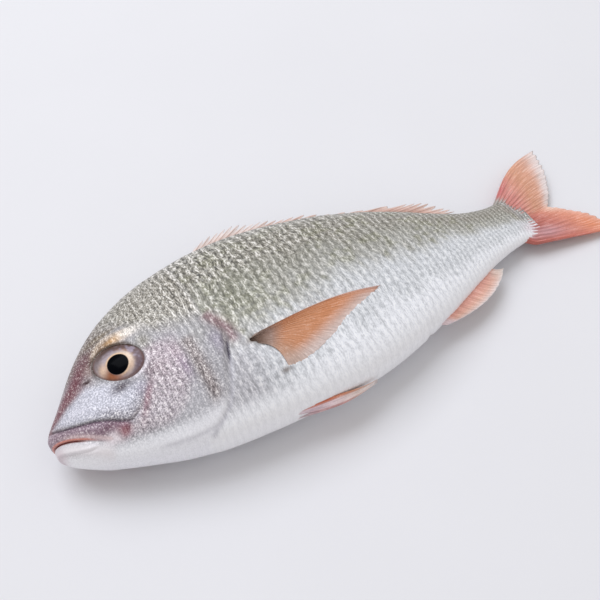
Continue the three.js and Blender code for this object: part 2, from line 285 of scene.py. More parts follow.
def outward(surface, u, turn, along_step, round_step):
    """Outward normal of a surface over the loft, from its slopes along and round the body."""
    ahead = surface(np.minimum(u + along_step, 1), turn)
    lengthwise = ahead - surface(np.maximum(u - along_step, 0.001), turn)
    around = surface(u, turn + round_step) - surface(u, turn - round_step)
    return unit(np.cross(around, lengthwise))


def skin_normal(u, turn):
    return outward(plain_skin, u, turn, 0.004, 0.004)


def pressed(z):
    """The under flank is flat on the table, so what would go below it is held there."""
    bent = (z + FLANK_SOFTNESS) ** 2 / (4 * FLANK_SOFTNESS)
    return np.where(z > FLANK_SOFTNESS, z, np.where(z < -FLANK_SOFTNESS, 0.0, bent))


def turn_at(x, y):
    u = loft_at(x)
    c = (2 * y - back_at(u) - belly_at(u)) / (back_at(u) - belly_at(u))
    return np.arccos(np.clip(c, -1, 1)) / (2 * np.pi)


def folded_over(turn):
    """The same turn for a place on the right flank as for its mirror on the left."""
    return np.where(turn > 0.5, 1 - turn, np.abs(turn))


def orbit_radius(x, y):
    """1 on the edge of the eye's opening, less inside it."""
    dx, dy = x - EYE["x"], y - EYE["y"]
    c, s = math.cos(EYE["turn"]), math.sin(EYE["turn"])
    return np.hypot((dx * c + dy * s) / ORBIT[0], (dy * c - dx * s) / ORBIT[1])


def lid_share(x, y):
    """1 over the eye, where the lid hangs, and 0 under it."""
    return ease(0.5 + (y - EYE["y"] - 0.2 * (x - EYE["x"])) / 9.0)


def lip_share(x, y):
    """Across the upper lip: 0 on the line of the mouth and 1 under the cheek plate."""
    bottom = np.interp(x, *np.array(GAPE).T)
    return (y - bottom) / np.maximum(np.interp(x, *np.array(CHEEK_PLATE).T) - bottom, 2)


def gill_inside(x, y):
    """Distance ahead of the rear edge of the gill cover."""
    edge = sorted(GILL_EDGE, key=lambda p: p[1])
    return np.interp(y, [p[1] for p in edge], [p[0] for p in edge]) - x


def rear_nostril(x, y):
    return bump(np.hypot((x - 23.6) / 1.5 + (y - 7.9) / 2.0, (y - 7.9) / 0.7))


# The rows and columns of scales
def half_girth_table():
    """Length of skin from the back ridge round to each turn, at stations along the body."""
    turns = np.linspace(0, 0.5, 121)
    stations = np.linspace(0.01, 1, 120)
    arcs = []
    for u in stations:
        points = plain_skin(np.full(turns.shape, u), turns)
        steps = np.linalg.norm(np.diff(points, axis=0), axis=1)
        arcs.append(np.concatenate([[0], np.cumsum(steps)]))
    return stations, turns, np.array(arcs)


GIRTH_STATIONS, GIRTH_TURNS, GIRTH_ARCS = half_girth_table()


def arc_from_back(u, folded):
    """Length of skin between the back ridge and a place, the same on both flanks."""
    i = np.interp(u, GIRTH_STATIONS, np.arange(len(GIRTH_STATIONS)))
    j = np.interp(folded, GIRTH_TURNS, np.arange(len(GIRTH_TURNS)))
    a = np.minimum(i.astype(int), len(GIRTH_STATIONS) - 2)
    b = np.minimum(j.astype(int), len(GIRTH_TURNS) - 2)
    near = mix(GIRTH_ARCS[a, b], GIRTH_ARCS[a, b + 1], j - b)
    far = mix(GIRTH_ARCS[a + 1, b], GIRTH_ARCS[a + 1, b + 1], j - b)
    return mix(near, far, i - a)


def scale_growth(u):
    """Size of the scales where the body is slimmer, as a share of the largest."""
    girth = np.interp(u, GIRTH_STATIONS, GIRTH_ARCS[:, -1])
    return (girth / DEEPEST_HALF_GIRTH).clip(0.05) ** 0.5


def scale_rows(x):
    """How many scales lie between the snout and x."""
    steps = np.linspace(0, BODY_LENGTH, 1200)
    pitch = SCALE_LONG * scale_growth(loft_at(steps)) * mix(0.72, 1.0, ease((steps - 66) / 24))
    rows = np.concatenate([[0], np.cumsum((steps[1] - steps[0]) / pitch[:-1])])
    return np.interp(x, steps, rows)


def scale_place(u, x, folded):
    """A place counted in scales, along the body and down from the back."""
    arc = arc_from_back(u, folded)
    sway = 0.22 * steady_noise(x / 7.0, arc / 7.0, 5)
    lean = 0.15 * steady_noise(x / 9.0, arc / 9.0, 6)
    return scale_rows(x) + sway, arc / (SCALE_WIDE * scale_growth(u)) + lean


def scales(s, v):
    """Overlapping scales. Gives how far a place is ahead of its scale's rear margin, a number for
    each scale, and 1 on the scale's middle line to 0 at its sides."""
    rows = []
    for shift in (0.0, 0.5):
        line = np.round(v - shift)
        middle = np.cos(np.pi * (v - shift - line))
        count = np.ceil(s - shift - 0.5 * middle)
        rows.append((count + shift + 0.5 * middle - s, count + shift, line + shift, middle))
    first = rows[0][0] < rows[1][0]
    ahead, count, line, middle = (np.where(first, a, b) for a, b in zip(*rows))
    return ahead, each_own(count, line, 11), middle


def scaled(x, y, height):
    """How clearly the scales show, from 0 on bare skin to 1."""
    inside = gill_inside(x, y)
    trunk = ease((1.0 - inside) / 4.0)
    nape = ease((y - np.interp(x, [30, 44, 60, 80, 90], [28, 25, 14, 10, 8])) / 5.0)
    cover = 0.5 * ease(inside / 3.0) * ease((x - 66) / 4.0) * ease((y + 33) / 6.0)
    cheek = 0.8 * patch(CHEEK_SCALES, x, y, 2.0)
    belly = mix(0.15, 1.0, ease((height - 0.06) / 0.3))
    return np.maximum.reduce([trunk * belly, nape, cover, cheek])


# Relief of the skin, in millimetres
def head_relief(x, y):
    inside = gill_inside(x, y)
    below_shoulder = ease((5 - y) / 13) * ease((y + 39.5) / 9)
    step_width = mix(2.0, 3.4, ease((-15 - y) / 6))
    plate = 1.15 * ease(inside / step_width) * ease((32 - inside) / 26) * below_shoulder
    trough = -0.22 * bump((inside + 0.7) / 0.8) * ease((-14 - y) / 8) * ease((y + 39) / 6)
    slit = -1.3 * bump((inside + 0.3) / 0.45) * bump((y + 12.2) / 4.6)
    cheek = 1.1 * oval(x, y, (56, -9), (10, 14))
    brow = 1.1 * oval(x, y, (43, 21), (9, 4))

    fold, share = off_line(PREOPERCLE, x, y)
    preopercle = 0.18 * ease(-fold / 3.0) * ease((11 + fold) / 9) - 0.2 * bump((fold - 0.6) / 1.0)
    preopercle *= ease(share / 0.3) * ease((1 - share) / 0.25)

    over, run = off_line(CHEEK_PLATE, x, y)
    plate_edge = 0.5 * ease(over / 0.8) * ease((9 - over) / 8) - 0.5 * bump((over + 0.3) / 0.35)
    plate_edge = plate_edge * (ease((0.92 - run) / 0.25) * ease(run / 0.04))
    end_over, _ = off_line(JAW_END, x, y)
    jaw_end = -0.3 * bump(end_over / 0.8)
    hollow = -0.55 * oval(x, y, (25.5, -16.2), (4.2, 2.4))

    mouth, depth = off_line(GAPE, x, y)
    upper_lip = np.sin(np.pi * np.clip(lip_share(x, y), 0, 1)) * ease((34 - x) / 6)
    lower_lip = 0.9 * bump((mouth + 2.7) / 2.3) * ease((24 - x) / 8)
    slit_open = -1.05 * bump((mouth + 0.1) / 0.3) * ease((0.8 - depth) / 0.4)
    lip_fold, fold_run = off_line(LIP_FOLD, x, y)
    under_lip = -0.4 * bump((lip_fold + 0.35) / 0.45) + 0.25 * bump((lip_fold - 0.6) / 0.6)
    under_lip = under_lip * ease((1 - fold_run) / 0.2)
    throat, throat_run = off_line(THROAT_FOLD, x, y)
    throat_fold = -0.16 * bump(throat / 0.6) * ease((1 - throat_run) / 0.3) * ease(throat_run / 0.25)

    nostrils = -1.5 * rear_nostril(x, y)
    nostrils += -0.5 * oval(x, y, (20.9, 9.4), (0.6, 0.5))
    forms = plate + trough + slit + cheek + brow + preopercle + plate_edge + jaw_end + hollow
    return forms + upper_lip + lower_lip + slit_open + under_lip + throat_fold + nostrils


def relief(x, y, folded, u):
    """How far the skin stands out of the plain loft."""
    height = height_share(y, u)
    head = head_relief(x, y) * ease((HEAD_END + 4 - x) / 4) * ease(u / 0.03)
    armpit = -0.9 * oval(x, y, (92.5, -12.9), (2.2, 1.3)) - 0.5 * oval(x, y, (95, -16.5), (2.5, 1.2))
    side_line, _ = off_line(SIDE_LINE, x, y)
    line_ridge = 0.1 * bump(side_line / 0.9) * ease((x - 82) / 4)
    vent = -0.8 * oval(x, height, (171, 0.012), (1.8, 0.02))

    ahead, own, middle = scales(*scale_place(u, x, folded))
    margin = SCALE_STEP * (1 - ahead) ** 1.2 * mix(0.35, 1.0, middle) * mix(0.6, 1.3, 0.5 + 0.5 * own)
    muscle = 0.14 * steady_noise(x / 9.0, y / 13.0, 3) * ease((x - 20) / 40)
    whole = head + armpit + line_ridge + vent + scaled(x, y, height) * margin + muscle

    r = orbit_radius(x, y)
    rim = (0.12 + 0.5 * lid_share(x, y)) * bump((r - 1.06) / 0.06)
    socket = -4.2 * ease((1.0 - r) / 0.13)
    return (whole * ease((r - 1.0) / 0.12) + rim) * ease((r - 0.9) / 0.1) + socket


def skin(u, turn):
    """The skin with its relief, narrowed into the root of the tail and flat on the table."""
    points = plain_skin(u, turn)
    out = relief(points[..., 0], points[..., 1], folded_over(turn), u)
    points = points + skin_normal(u, turn) * out[..., None]
    narrowed = 1 - 0.85 * ease((points[..., 0] - 247) / 14)
    middle = middle_at(u)
    points[..., 2] = pressed(middle + (points[..., 2] - middle) * narrowed)
    return points


def shown_normal(u, turn):
    return outward(skin, u, turn, 0.0006, 0.0008)


def on_skin(x, y, lift):
    """A place on the left flank under a fin, lifted by some millimetres."""
    u = loft_at(x)
    turn = turn_at(x, y)
    inside = gill_inside(x, y)
    cover = 1.3 * ease(inside / 2.5) * ease((32 - inside) / 26) * ease((14 - y) / 8)
    points = plain_skin(u, turn) + skin_normal(u, turn) * (cover + lift)[..., None]
    points[..., 2] = pressed(points[..., 2])
    return points


# Layers of the skin's colour, each with the strength of its painted glitter and a mask of where it
# shows
def flank_layers(x, y, height, patchy):
    """White belly, silver flank and dusky back with an olive cast in places."""
    dusk_line = np.interp(x, [90, 105, 143, 188, 216], [0.33, 0.33, 0.42, 0.43, 0.43])
    dusk = height - dusk_line + patchy + 0.07 * ease((x - 225) / 25)
    olive = steady_noise(x / 8, y / 6, 23) * 0.5 + steady_noise(x / 3, y / 2.5, 24) * 0.5
    back_glitter = np.interp(x, [60, 98, 141, 181, 216], [1.05, 1.2, 0.88, 0.72, 0.55])
    return [
        ("#bcbbc1", 0.44, ease((106 - x + 60 * patchy) / 26)),
        ("#f4f6fc", 0.3, ease((0.26 - height + patchy) / 0.15) * ease((x - 90) / 34)),
        ("#f6f7fc", 0.16, ease((0.13 - height) / 0.09)),
        ("#f8f8fc", 0.08, ease((0.06 - height) / 0.05)),
        ("#b2b2ae", 0.5, ease((dusk + 0.09) / 0.22)),
        ("#929086", 0.6, ease((dusk - 0.01) / 0.3)),
        ("#8e8a80", 0.95 * back_glitter, ease((height - 0.62 + patchy) / 0.14)),
        ("#86866a", 0.8, 0.45 * ease(dusk / 0.1) * ease(olive * 2.2) * ease((1.0 - height) / 0.2)),
        ("#7f7f6c", 0.75, 0.72 * oval(x, y, (98, 13), (15, 11))),
    ]


def forehead_layers(x, y, height, patchy, in_head):
    """Grey nape, brown forehead and the wine-red ridge down the snout."""
    nape_line = np.interp(x, [0, 30, 45, 60, 80], [8, 21, 22, 7, 2])
    ridge, _ = off_line(SNOUT_RIDGE, x, y)
    return [
        ("#a19fa4", 0.42, in_head * ease((height - 0.16) / 0.16)),
        ("#948f85", 1.1, in_head * ease((y - nape_line + 30 * patchy) / 12)),
        ("#8b8983", 0.5, 0.45 * in_head * oval(x, y, (74, 1), (9, 6))),
        ("#6f6159", 0.95, in_head * ease((46 - x) / 14) * ease((y - 12) / 6)),
        ("#6f3845", 0.6, bump(ridge / 5.0) * ease((33 - x) / 6)),
        ("#885c64", 0.7, 0.7 * oval(x, y, (17, 5), (6, 2.4))),
        ("#704e54", 0.6, 0.85 * oval(x, y, (27, 20), (5, 5))),
        ("#9a8480", 0.5, 0.8 * oval(x, y, (27, 12), (3, 4))),
    ]


def cheek_layers(x, y):
    """Silver-blue plate between eye and mouth, and the rosy scaled cheek behind it."""
    over, run = off_line(CHEEK_PLATE, x, y)
    plate_edge = 0.8 * bump((over - 2) / 3) * ease((run - 0.3) / 0.25) * ease((1.02 - run) / 0.1)
    behind_plate = x - 42.6 - 0.7 * (y + 13.5)
    return [
        ("#c2c2ce", 0.46, patch(PREORBITAL, x, y, 2.2)),
        ("#d6d6e2", 0.4, 0.8 * oval(x, y, (15.5, -1.2), (5, 3))),
        ("#949099", 0.9, plate_edge),
        ("#321f31", 0.4, oval(x, y, (35.4, -3.2), (4.8, 2.5))),
        ("#8f8798", 0.6, 0.7 * oval(x, y, (43, -8.5), (3.2, 3.8))),
        ("#ada1a9", 0.95, patch(CHEEK_SCALES, x, y, 3.0)),
        ("#c6bfc7", 0.8, 0.7 * oval(x, y, (47, -20.5), (11, 4.5))),
        ("#927c83", 0.95, 0.55 * oval(x, y, (53, -4), (4.5, 6))),
        ("#937f8a", 1.0, 0.6 * oval(x, y, (54, 5), (6, 3.5))),
        ("#8d6472", 0.7, 0.9 * oval(behind_plate, y, (0, -13.5), (1.9, 6.5))),
        ("#84698a", 0.8, 0.6 * oval(x, y, (62.3, -9.5), (2.2, 6))),
        ("#75606a", 0.8, 0.9 * oval(x, y, (48.3, -2.6), (2.6, 4))),
        ("#a48c96", 0.9, 0.5 * oval(x, y, (62, -1), (3.5, 8))),
    ]


def gill_layers(x, y, inside, in_head):
    """Smoky folds and edges of the gill cover, over the pale underside of the head, with painted shade
    in its slit, along its lower edge and in the throat fold.
    """
    fold, fold_run = off_line(PREOPERCLE, x, y)
    fold_mask = 0.8 * bump((fold - 1.2) / 3.2) * ease(fold_run / 0.1) * ease((1 - fold_run) / 0.3)
    top, top_run = off_line(GILL_TOP, x, y)
    jaw_line = np.interp(x, [20, 30, 47, 57, 66, 80], [-20, -24, -27, -28, -27, -24])
    low_edge, low_run = off_line(GILL_LOW_EDGE, x, y)
    throat, throat_run = off_line(THROAT_FOLD, x, y)
    throat_mask = 0.6 * bump(throat / 0.8) * ease(throat_run / 0.2) * ease((1 - throat_run) / 0.3)
    return [
        ("#837472", 1.15, fold_mask),
        ("#7c7088", 0.5, 0.6 * oval(x, y, (79, -6), (3.4, 6))),
        ("#7a525a", 0.5, 0.85 * bump(top / 2.8) * ease(top_run / 0.15)),
        ("#f4f4fa", 0.12, in_head * ease((jaw_line - y) / 7)),
        # Painted shade along the crease under the lower edge of the gill cover
        ("#c0bfc8", 0.2, 0.7 * bump(low_edge / 0.9) * ease(low_run / 0.3)),
        # Painted shade in the throat fold
        ("#cfced6", 0.1, throat_mask),
        # Painted shade in the gill slit
        ("#382c46", 0.1, 1.3 * bump((inside + 0.3) / 0.5) * bump((y + 12.4) / 5.0)),
    ]


def mouth_layers(x, y):
    """Plum lips with a coral seam, the white lower jaw, the red gap of the mouth with painted shade in
    it, and painted shade in the crease over the upper lip.
    """
    mouth, mouth_run = off_line(GAPE, x, y)
    over, run = off_line(CHEEK_PLATE, x, y)
    across = lip_share(x, y)
    on_lip = ease(across / 0.08) * ease((1.02 - across) / 0.05) * ease((33.5 - x) / 3)
    seam = 0.8 * on_lip * ease((27 - x) / 5) * ease((x - 3) / 8) * bump((mouth - 1.5) / 0.8)
    crease_shade = 0.8 * bump((over + 0.3) / 0.45) * ease(run / 0.1) * ease((0.84 - run) / 0.25)
    return [
        ("#98828f", 0.6, on_lip),
        ("#6d5268", 0.5, 0.7 * on_lip * bump((across - 0.95) / 0.25) * ease((x - 6) / 8)),
        ("#6b4659", 0.5, 0.9 * on_lip * oval(x, y, (25.5, -16.0), (6.5, 3.0))),
        ("#94505e", 0.4, oval(x, y, (28.6, -20.2), (3.2, 2.4))),
        ("#f2e8ee", 0.15, oval(x, y, (23.2, -20.1), (3.6, 2.3))),
        ("#dcc4c6", 0.15, seam),
        ("#d5765c", 0.1, ease((19 - x) / 6) * bump((mouth - 0.6) / 0.42)),
        ("#efeaee", 0.05, ease((24 - x) / 5) * bump((mouth + 2.9) / 2.4)),
        ("#c9b4bc", 0.05, 0.6 * ease((6 - x) / 4) * bump((mouth + 3.5) / 3.0)),
        # Dark red along the gap of the mouth: its red inside, with painted shade in the closed gap
        ("#8e3a2b", 0.1, ease((0.72 - mouth_run) / 0.3) * bump((mouth + 0.05) / 0.36)),
        # Painted shade in the crease under the edge of the cheek plate
        ("#4b3f4c", 0.2, crease_shade),
    ]


def round_eye_layers(x, y):
    """Golden brow, the dark and pale rings round the eye, painted shade under the lid, and the nostril
    darkened with painted shade.
    """
    brow, brow_run = off_line(BROW, x, y)
    brow_line = 0.7 * bump(brow / 1.5) * ease(brow_run / 0.12) * ease((1 - brow_run) / 0.3)
    r = orbit_radius(x, y)
    lid = lid_share(x, y)
    return [
        ("#d8c6b4", 0.85, brow_line),
        ("#c79550", 0.5, 0.9 * oval(x, y, (41.8, 19.2), (6, 2.2))),
        # Brown band over the eye: partly brown skin, partly painted shade under the brow and lid
        ("#472d13", 0.22, bump((r - 1.12) / 0.13) * ease((y - 12) / 5) * ease((53 - x) / 6)),
        ("#87816f", 0.8, 0.65 * oval(x, y, (52, 11.5), (3.6, 4.5))),
        ("#f2ece4", 0.6, 0.9 * oval(x, y, (48.5, 19.8), (4.6, 2.2))),
        ("#7d6a48", 0.9, 0.6 * oval(x, y, (38, 26.5), (8, 1.8))),
        # Painted shade cast by the lid on the upper rim
        ("#43301f", 0.15, lid * bump((r - 1.02) / 0.08)),
        ("#574646", 0.2, (1 - 0.4 * lid) * bump((r - 1.0) / 0.035)),
        ("#e8e0e8", 0.4, 0.6 * ease((6 - y) / 5) * bump((r - 1.14) / 0.09) * ease((x - 38) / 6)),
        # Painted shade in the pit of the rear nostril
        ("#45252a", 0.1, rear_nostril(x, y)),
    ]


def fin_root_layers(x, y):
    """Painted shade in the armpit of the breast fin and under its end, and the grey root of the tail.
    """
    root_y, root_x = [-14.6, -12.3, -8, -2.3, 6.6, 15.4], [250, 256.6, 258.1, 257.6, 258, 254.3]
    tail_root = np.interp(y, root_y, root_x)
    return [
        # Painted shade in the hollow of the armpit
        ("#796558", 0.3, 0.75 * oval(x, y, (93.5, -13), (4.0, 1.4))),
        # Painted shade under the end of the fin
        ("#6d5c52", 0.3, 0.8 * oval(x, y, (98.5, -30.9), (2.2, 1.1))),
        ("#9c9a98", 0.7, ease((x - tail_root + 6) / 5) * ease((y + 6) / 6)),
        ("#e6d6de", 0.3, 0.7 * oval(x, y, (257, -9), (5.5, 3))),
    ]


def skin_layers(x, y, height):
    inside = gill_inside(x, y)
    in_head = ease((inside + 1) / 3) * ease((60 - y) / 5)
    broad, fine = steady_noise(x / 13, y / 10, 21), steady_noise((x + 0.3 * y) / 2.2, y / 7, 22)
    patchy = 0.035 * broad + 0.04 * fine
    layers = flank_layers(x, y, height, patchy)
    layers += forehead_layers(x, y, height, patchy, in_head)
    layers += cheek_layers(x, y)
    layers += gill_layers(x, y, inside, in_head)
    layers += mouth_layers(x, y)
    layers += round_eye_layers(x, y)
    return layers + fin_root_layers(x, y)


def skin_tint(points, u, folded):
    """Colour of the skin, its grain, and whether it is streaked, 1, or speckled, 0.

    The grain is a place counted in scales, as millimetres, and how strongly its painted glitter shows."""
    x, y = points[..., 0], points[..., 1]
    height = height_share(y, u)
    tint = np.broadcast_to(linear("#d6d9de"), points.shape).copy()
    glitter = np.full(x.shape, 0.42)
    for code, sparkle, mask in skin_layers(x, y, height):
        mask = np.clip(mask, 0, 1)
        tint += (linear(code) - tint) * mask[..., None]
        glitter += (sparkle - glitter) * mask

    s, v = scale_place(u, x, folded)
    ahead, own, middle = scales(s, v)
    shown = scaled(x, y, height) * np.clip(glitter, 0, 1)
    streak = steady_noise(s * 2.4, v * 0.75, 31)
    # Painted shade: each scale is darker at its front, under the overlapping rear margin of the scale
    # before it
    margin_shade = ease((ahead - 0.25) / 0.5)
    tint *= (1 + shown * (0.07 * own + 0.10 * streak - 0.22 * (margin_shade - 0.55)))[..., None]
    # Painted highlights: near-white glints along the rear margins of the scales
    picked = ease((0.3 * own + 0.7 * streak + 0.45) / 0.9)
    glint = bump((ahead - 0.16) / 0.16) * (0.35 + 0.65 * middle) * picked
    tint += (linear("#f6f6f4") - tint) * (0.35 * shown * glint)[..., None]

    inside = gill_inside(x, y)
    smooth_cover = ease(inside / 4) * ease((x - 66) / 5) * ease((4 - y) / 10)
    cheek = 0.5 * ease(inside / 4) * ease((72 - x) / 8)
    speckled = patch(PREORBITAL, x, y, 3.0) + 0.6 * smooth_cover + cheek + 0.3 * ease((40 - x) / 10)
    grain = np.stack([s * SCALE_LONG, v * SCALE_WIDE, glitter], -1)
    return np.clip(tint, 0, 1), grain, 1 - np.clip(speckled, 0, 1)


# Meshes
def new_mesh(name, bm):
    mesh = bpy.data.meshes.new(name)
    bm.to_mesh(mesh)
    bm.free()
    return mesh


def add_object(name, data):
    thing = bpy.data.objects.new(name, data)
    bpy.context.collection.objects.link(thing)
    return thing


def places_of(mesh):
    flat = np.empty(3 * len(mesh.vertices))
    mesh.vertices.foreach_get("co", flat)
    return flat.reshape(-1, 3)


def grid_sheet(name, columns, rows):
    """A grid of faces with the share across and up of each of its points."""
    bm = bmesh.new()
    bmesh.ops.create_grid(bm, x_segments=columns, y_segments=rows, size=1.0)
    mesh = new_mesh(name, bm)
    shares = (places_of(mesh)[:, :2] + 1) / 2
    return mesh, shares[:, 0], shares[:, 1]


def keep(mesh, name, kind, values):
    """Keeps a value at each point of a mesh for its material to read."""
    field = {"FLOAT_COLOR": "color", "FLOAT_VECTOR": "vector", "FLOAT": "value"}[kind]
    attribute = mesh.attributes.new(name, kind, "POINT")
    attribute.data.foreach_set(field, np.ascontiguousarray(values, float).ravel())


def put_in_place(mesh, points, tint):
    """Moves a mesh's points to their places and keeps their colours."""
    mesh.vertices.foreach_set("co", in_frame(points).ravel())
    keep(mesh, "tint", "FLOAT_COLOR", np.concatenate([tint, np.ones(tint.shape[:-1] + (1,))], -1))
    mesh.polygons.foreach_set("use_smooth", np.ones(len(mesh.polygons), bool))


def shell_piece(mesh, points, tint):
    """Closes a rolled-up grid into a shell and makes it an object of the scene."""
    put_in_place(mesh, points, tint)
    bm = bmesh.new()
    bm.from_mesh(mesh)
    open_verts = [v for v in bm.verts if v.is_boundary or not v.link_faces]
    bmesh.ops.remove_doubles(bm, verts=open_verts, dist=2e-7)
    shut_edges = [e for e in bm.edges if e.calc_length() < 1e-8]
    bmesh.ops.dissolve_degenerate(bm, edges=shut_edges, dist=1e-8)
    bm.to_mesh(mesh)
    bm.free()
    return add_object(mesh.name, mesh)


def column_turns():
    """Share across the sheet to the turn round the section, closest on the upper flank."""
    turns = np.linspace(-0.25, 0.75, 4001)
    q = np.sin(2 * np.pi * turns)
    crowd = (1 + np.abs(q) ** 1.3) * mix(1.0, LEFT_SHARE, ease(q * 3 + 0.5))
    total = np.concatenate([[0], np.cumsum(crowd[:-1])])
    return total / total[-1], turns


def body_piece(name, rows, start, end):
    """A length of skin between two stations of the loft, closed at both ends."""
    mesh, across, up = grid_sheet(name, COLUMNS, rows)
    turn = np.interp(across, *column_turns())
    row = np.round(up * rows)
    first, last = 1 if start > 0 else 0, rows - 1
    u = mix(start, end, np.clip((row - first) / (last - first), 0, 1))
    points = skin(u, turn)
    for closed, station in ((row < first, start), (row > last, end)):
        middle_y = (back_at(station) + belly_at(station)) / 2
        points[closed] = [along(station) * BODY_LENGTH, middle_y, middle_at(station)]
    points[u <= 0] = [0, SNOUT_TIP_Y, MIDDLE[0]]
    tint, grain, streaky = skin_tint(plain_skin(u, turn), u, folded_over(turn))
    keep(mesh, "grain", "FLOAT_VECTOR", grain)
    keep(mesh, "streaky", "FLOAT", streaky)
    ring = (np.abs(u - loft_at(HEAD_END)) < 1e-9) & (row >= first) & (row <= last)
    ring_normals = np.zeros(points.shape)
    ring_normals[ring] = shown_normal(u[ring], turn[ring])
    keep(mesh, "ring_normal", "FLOAT_VECTOR", ring_normals)
    piece = shell_piece(mesh, points, tint)
    share_ring_normals(piece.data)
    return piece


def share_ring_normals(mesh):
    """Both shells shade alike on the ring where they meet, so that no seam shows."""
    normals = np.zeros(3 * len(mesh.vertices))
    mesh.attributes["ring_normal"].data.foreach_get("vector", normals)
    mesh.attributes.remove(mesh.attributes["ring_normal"])
    mesh.normals_split_custom_set_from_vertices(normals.reshape(-1, 3).tolist())


# Fins. In each, i runs from 0 on the first ray to 1 on the last, and v from the root to the tips
RAY_COLUMNS = 8  # columns of faces from one ray to the next
FRAY = 0.006  # raggedness of the edge, as a share of a ray
TABLE_GAP = 0.05  # the lowest that a fin lies over the table


def fin_piece(name, place, tint, rays, rows, root, tip, notch):
    """A closed web of rays, with its thickness at root and tips in millimetres.

    place(i, v) is its middle sheet. notch is how far the web is cut in between two tips."""
    gaps = rays - 1
    mesh, across, v = grid_sheet(name, 2 * gaps * RAY_COLUMNS, rows)
    front = across <= 0.5
    i = np.where(front, 2 * across, 2 - 2 * across)
    branched = ease((v - 0.3) / 0.4)
    thick = np.cos(np.pi * gaps * i) ** 2
    ray = mix(thick, np.cos(2 * np.pi * gaps * i) ** 2 * mix(1.0, thick, 0.4), branched)
    ragged = FRAY * steady_noise(i * gaps * 4.1, np.full(i.shape, 3.0), 41)
    length = v * (1 - notch * (1 - thick) ** 1.5 + ragged)
    points = place(i, length)
    nudge = 0.004
    sideways = place(np.minimum(i + nudge, 1), length) - place(np.maximum(i - nudge, 0), length)
    tipwards = place(i, length + nudge) - place(i, length - nudge)
    side_round = np.sqrt(np.clip(np.minimum(i, 1 - i) / 0.012, 0, 1))
    rounded = side_round * np.sqrt(np.clip((1 - v) / 0.03, 0, 1))
    half = mix(root, tip, v**0.7) / 2 * mix(0.58, 1.0, ray) * rounded * np.where(v <= 0, 0, 1)
    points = points + unit(np.cross(sideways, tipwards)) * np.where(front, half, -half)[:, None]
    points[:, 2] = np.maximum(points[:, 2], TABLE_GAP)

    first, third, last = np.zeros(1), np.full(1, 0.3), np.ones(1)
    span = np.linalg.norm(place(last, last) - place(first, last))
    depth = np.linalg.norm(place(third, last) - place(third, first))
    keep(mesh, "grain", "FLOAT_VECTOR", np.stack([i * span, v * depth, np.ones(len(i))], -1))
    keep(mesh, "streaky", "FLOAT", np.ones(len(i)))
    return shell_piece(mesh, points, np.clip(tint(i, v, ray), 0, 1))


def spread(table, i):
    """The values at i, from 0 to 1, along a table of evenly spaced rows."""
    rows = np.asarray(table, float)
    place = np.linspace(0, 1, len(rows))
    return [np.interp(i, place, rows[:, k]) for k in range(rows.shape[1])]


# The tail fans out from a hinge inside the body. Its rays part at the notch between the lobes
TAIL_HINGE = 225.0
TAIL_ROOT = 27
TAIL_NOTCH = 53.5
TAIL_SPLIT = 0.54


def tail_lobe(i):
    """0 at the notch and 1 at the tip of either lobe."""
    return np.where(i < TAIL_SPLIT, (TAIL_SPLIT - i) / TAIL_SPLIT, (i - TAIL_SPLIT) / (1 - TAIL_SPLIT))


def tail_place(i, v):
    lobe = tail_lobe(i)
    bow = np.where(i < TAIL_SPLIT, 4.2, 0.8)
    radius = mix(TAIL_ROOT, TAIL_NOTCH + np.where(i < TAIL_SPLIT, 27, 28) * lobe, v)
    turn = mix(mix(29, -31, i), mix(27, -20.5, i), v) + bow * lobe * np.sin(np.pi * v)
    low_edge = ease((i - 0.84) / 0.16) * np.clip(1 - v, 0, 1) ** 6 * ease((v - 0.02) / 0.12)
    turn = np.radians(turn - 6.5 * low_edge)
    z = mix(8.2, mix(5.5, 2.2, i), v) + 0.7 * v * np.sin(9 * i) + 0.25 * v * np.sin(31 * i + 2)
    return np.stack([TAIL_HINGE + radius * np.cos(turn), radius * np.sin(turn), z], -1)


def tail_tint(i, v, ray):
    """Salmon with a pale edge on the upper lobe, redder below, and grey where the body ends."""
    radius = mix(TAIL_ROOT, TAIL_NOTCH + 27.5 * tail_lobe(i), v)
    upper_codes = ["#cb8782", "#d58f86", "#dba084", "#dfaa94", "#ead6d0"]
    lower_codes = ["#b66e6a", "#b96e66", "#cb7d70", "#e4987f", "#f0b8a4"]
    upper = blend_tints(upper_codes, [0, 0.3, 0.6, 0.85, 1], v)
    lower = blend_tints(lower_codes, [0, 0.25, 0.5, 0.85, 1], v)
    tint = mix(upper, lower, ease((i - 0.46) / 0.12)[:, None])
    grey = ease((35.8 + 2.4 * steady_noise(i * 15, v * 6, 52) + 0.4 * ray - radius) / 6)
    low_tip = ease((v - 0.62) / 0.25) * ease((1.05 - v) / 0.2)
    tint = lay_over(tint, [
        ("#c8646a", 0.6 * bump((i - 0.03) / 0.03) * ease((0.6 - v) / 0.4)),
        ("#ebe0df", bump((i - 0.3) / 0.36) * ease((v - 0.74) / 0.26) * ease((0.54 - i) / 0.06)),
        ("#f0cdbb", 0.8 * bump((i - 0.58) / 0.06) * ease((v - 0.66) / 0.3)),
        ("#dcb4bc", 0.6 * bump((i - 0.87) / 0.08) * bump((v - 0.3) / 0.2)),
        ("#e68e62", 0.55 * bump((i - 0.9) / 0.1) * low_tip),
        ("#cf6f62", 0.7 * bump((1 - i) / 0.03) * ease((0.9 - v) / 0.3)),
        ("#b3b1ac", mix(0.85, 1.0, ray) * grey * ease((0.6 - i) / 0.2)),
        ("#dcc8d0", 0.8 * grey * ease((i - 0.6) / 0.2) * ease((0.97 - i) / 0.06)),
    ])
    return tint * mix(1.02, 0.98, ray)[:, None]


